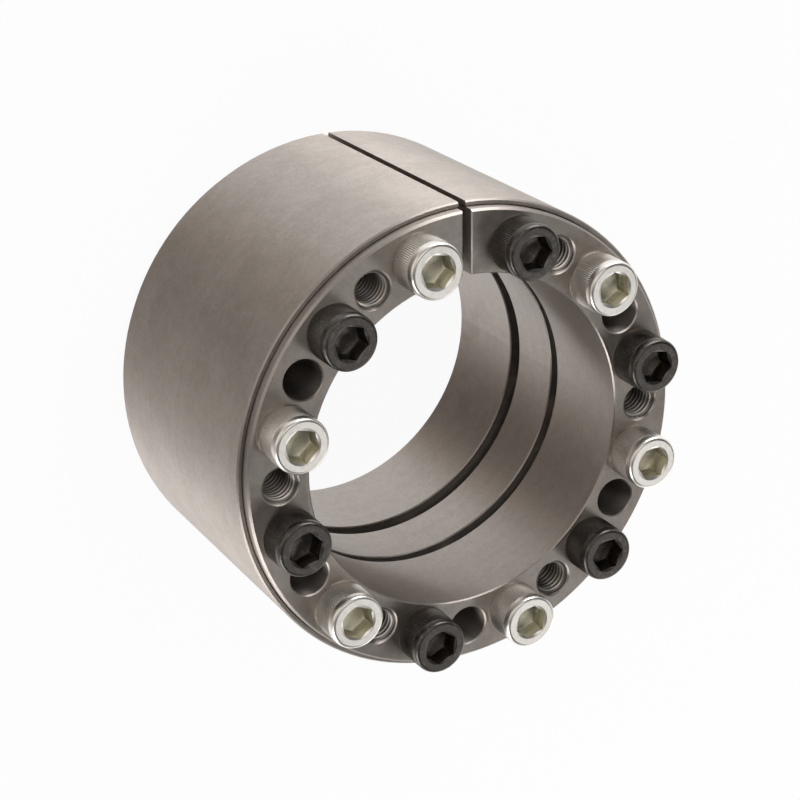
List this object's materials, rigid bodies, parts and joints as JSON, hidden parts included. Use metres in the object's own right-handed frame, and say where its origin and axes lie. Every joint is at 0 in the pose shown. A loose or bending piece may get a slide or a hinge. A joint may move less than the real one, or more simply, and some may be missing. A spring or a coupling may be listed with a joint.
{
  "type": "keyless locking device",
  "caption": "Keyless shaft-to-hub locking device: slit cone rings drawn by cap screws into a slit outer ring with opposed tapers, so that it grips shaft and hub bore.",
  "frame": {"origin": "on the device's axis, in the rear face of the rear cone ring", "axes": "+Z along the axis towards the screw heads, +Y towards the slits"},
  "size_m": [0.155, 0.155, 0.111],
  "materials": {
    "turned_steel": "fine turned, slightly mottled",
    "black_oxide": "black oxide",
    "zinc_plate": "bright zinc plating"
  },
  "bodies": {
    "outer_ring": {"outer_ring": "turned_steel"},
    "front_ring": {"front_ring": "turned_steel"},
    "rear_ring": {"rear_ring": "turned_steel"},
    "cap_screw_01": {"cap_screw_01": "black_oxide"},
    "cap_screw_02": {"cap_screw_02": "zinc_plate"},
    "cap_screw_03": {"cap_screw_03": "black_oxide"},
    "cap_screw_04": {"cap_screw_04": "zinc_plate"},
    "cap_screw_05": {"cap_screw_05": "black_oxide"},
    "cap_screw_06": {"cap_screw_06": "zinc_plate"},
    "cap_screw_07": {"cap_screw_07": "black_oxide"},
    "cap_screw_08": {"cap_screw_08": "zinc_plate"},
    "cap_screw_09": {"cap_screw_09": "black_oxide"},
    "cap_screw_10": {"cap_screw_10": "zinc_plate"},
    "cap_screw_11": {"cap_screw_11": "black_oxide"},
    "cap_screw_12": {"cap_screw_12": "zinc_plate"}
  },
  "joints": [
    {"name": "front_ring_slide", "type": "slide", "parent": "outer_ring", "child": "front_ring", "axis": [0, 0, -1], "range_m": [-0.0035, 0.0015]},
    {"name": "rear_ring_slide", "type": "slide", "parent": "outer_ring", "child": "rear_ring", "axis": [0, 0, 1], "range_m": [-0.0035, 0.0015]},
    {"name": "cap_screw_01_turn", "type": "hinge", "parent": "front_ring", "child": "cap_screw_01", "pos_m": [0.01676, 0.06254, 0.099], "axis": [0, 0, -1], "range_deg": [-1441, 618]},
    {"name": "cap_screw_02_turn", "type": "hinge", "parent": "front_ring", "child": "cap_screw_02", "pos_m": [0.04578, 0.04578, 0.099], "axis": [0, 0, -1], "range_deg": [-1441, 618]},
    {"name": "cap_screw_03_turn", "type": "hinge", "parent": "front_ring", "child": "cap_screw_03", "pos_m": [0.06254, 0.01676, 0.099], "axis": [0, 0, -1], "range_deg": [-1441, 618]},
    {"name": "cap_screw_04_turn", "type": "hinge", "parent": "front_ring", "child": "cap_screw_04", "pos_m": [0.06254, -0.01676, 0.099], "axis": [0, 0, -1], "range_deg": [-1441, 618]},
    {"name": "cap_screw_05_turn", "type": "hinge", "parent": "front_ring", "child": "cap_screw_05", "pos_m": [0.04578, -0.04578, 0.099], "axis": [0, 0, -1], "range_deg": [-1441, 618]},
    {"name": "cap_screw_06_turn", "type": "hinge", "parent": "front_ring", "child": "cap_screw_06", "pos_m": [0.01676, -0.06254, 0.099], "axis": [0, 0, -1], "range_deg": [-1441, 618]},
    {"name": "cap_screw_07_turn", "type": "hinge", "parent": "front_ring", "child": "cap_screw_07", "pos_m": [-0.01676, -0.06254, 0.099], "axis": [0, 0, -1], "range_deg": [-1441, 618]},
    {"name": "cap_screw_08_turn", "type": "hinge", "parent": "front_ring", "child": "cap_screw_08", "pos_m": [-0.04578, -0.04578, 0.099], "axis": [0, 0, -1], "range_deg": [-1441, 618]},
    {"name": "cap_screw_09_turn", "type": "hinge", "parent": "front_ring", "child": "cap_screw_09", "pos_m": [-0.06254, -0.01676, 0.099], "axis": [0, 0, -1], "range_deg": [-1441, 618]},
    {"name": "cap_screw_10_turn", "type": "hinge", "parent": "front_ring", "child": "cap_screw_10", "pos_m": [-0.06254, 0.01676, 0.099], "axis": [0, 0, -1], "range_deg": [-1441, 618]},
    {"name": "cap_screw_11_turn", "type": "hinge", "parent": "front_ring", "child": "cap_screw_11", "pos_m": [-0.04578, 0.04578, 0.099], "axis": [0, 0, -1], "range_deg": [-1441, 618]},
    {"name": "cap_screw_12_turn", "type": "hinge", "parent": "front_ring", "child": "cap_screw_12", "pos_m": [-0.01676, 0.06254, 0.099], "axis": [0, 0, -1], "range_deg": [-1441, 618]}
  ],
  "couplings": [
    {"joint": "rear_ring_slide", "follows": "front_ring_slide", "ratio": 1},
    {"joint": "cap_screw_01_turn", "follows": "front_ring_slide", "rad_per_m": 7180.8},
    {"joint": "cap_screw_02_turn", "follows": "front_ring_slide", "rad_per_m": 7180.8},
    {"joint": "cap_screw_03_turn", "follows": "front_ring_slide", "rad_per_m": 7180.8},
    {"joint": "cap_screw_04_turn", "follows": "front_ring_slide", "rad_per_m": 7180.8},
    {"joint": "cap_screw_05_turn", "follows": "front_ring_slide", "rad_per_m": 7180.8},
    {"joint": "cap_screw_06_turn", "follows": "front_ring_slide", "rad_per_m": 7180.8},
    {"joint": "cap_screw_07_turn", "follows": "front_ring_slide", "rad_per_m": 7180.8},
    {"joint": "cap_screw_08_turn", "follows": "front_ring_slide", "rad_per_m": 7180.8},
    {"joint": "cap_screw_09_turn", "follows": "front_ring_slide", "rad_per_m": 7180.8},
    {"joint": "cap_screw_10_turn", "follows": "front_ring_slide", "rad_per_m": 7180.8},
    {"joint": "cap_screw_11_turn", "follows": "front_ring_slide", "rad_per_m": 7180.8},
    {"joint": "cap_screw_12_turn", "follows": "front_ring_slide", "rad_per_m": 7180.8}
  ]
}
